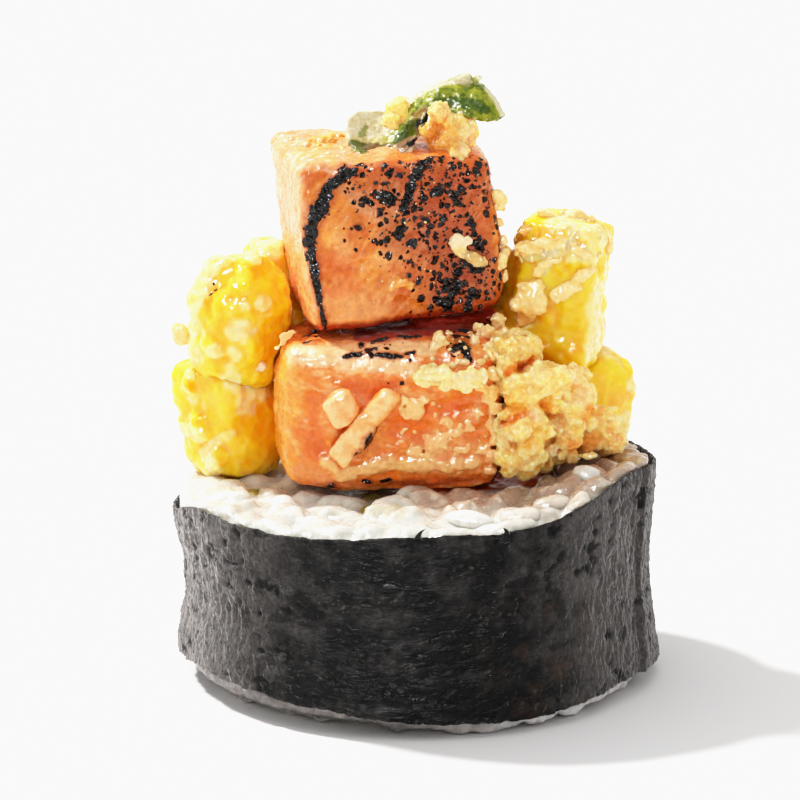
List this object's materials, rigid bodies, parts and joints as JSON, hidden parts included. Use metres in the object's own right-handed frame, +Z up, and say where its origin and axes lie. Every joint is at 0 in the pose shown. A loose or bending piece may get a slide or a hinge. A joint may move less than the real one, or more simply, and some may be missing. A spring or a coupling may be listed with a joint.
{
  "type": "maki roll",
  "caption": "Thick slice of rice roll wrapped in seaweed, standing on its cut face and topped with seared salmon, mango, batter crumbs and a green curl.",
  "frame": {"origin": "centre of the roll's flat base, on the surface it stands on", "axes": "+Z up through the roll to the toppings, -Y towards the diner, +X to the diner's right"},
  "size_m": [0.0567, 0.0558, 0.0692],
  "materials": {
    "seaweed": "moist dark seaweed sheet, wrinkled, satin",
    "rice": "cooked short-grain rice, moist and slightly see-through",
    "avocado": "cut avocado, soft satin",
    "filling": "raw orange-red fish, moist",
    "cucumber": "cut cucumber, moist",
    "salmon": "seared salmon with charred lines and a thin oily glaze",
    "pale": "pale cooked salmon, moist",
    "mango": "ripe mango with a thin pale sauce",
    "crumb": "fried batter crumbs, rough and oily",
    "green": "green pepper skin with cream flesh along its edges"
  },
  "bodies": {
    "root": {"seaweed": "seaweed", "rice": "rice", "filling_avocado": "avocado", "filling_salmon": "filling", "filling_cucumber": "cucumber", "salmon_lower": "salmon", "salmon_upper": "salmon", "salmon_strip": "pale", "pale_chunk": "pale", "mango_left_lower": "mango", "mango_left_upper": "mango", "mango_back_left": "mango", "mango_right_lower": "mango", "mango_right_upper": "mango", "crumbs_right": "crumb", "crumb_top": "crumb", "crumb_behind": "crumb", "crumb_flake": "crumb", "green_curl": "green"}
  },
  "joints": []
}
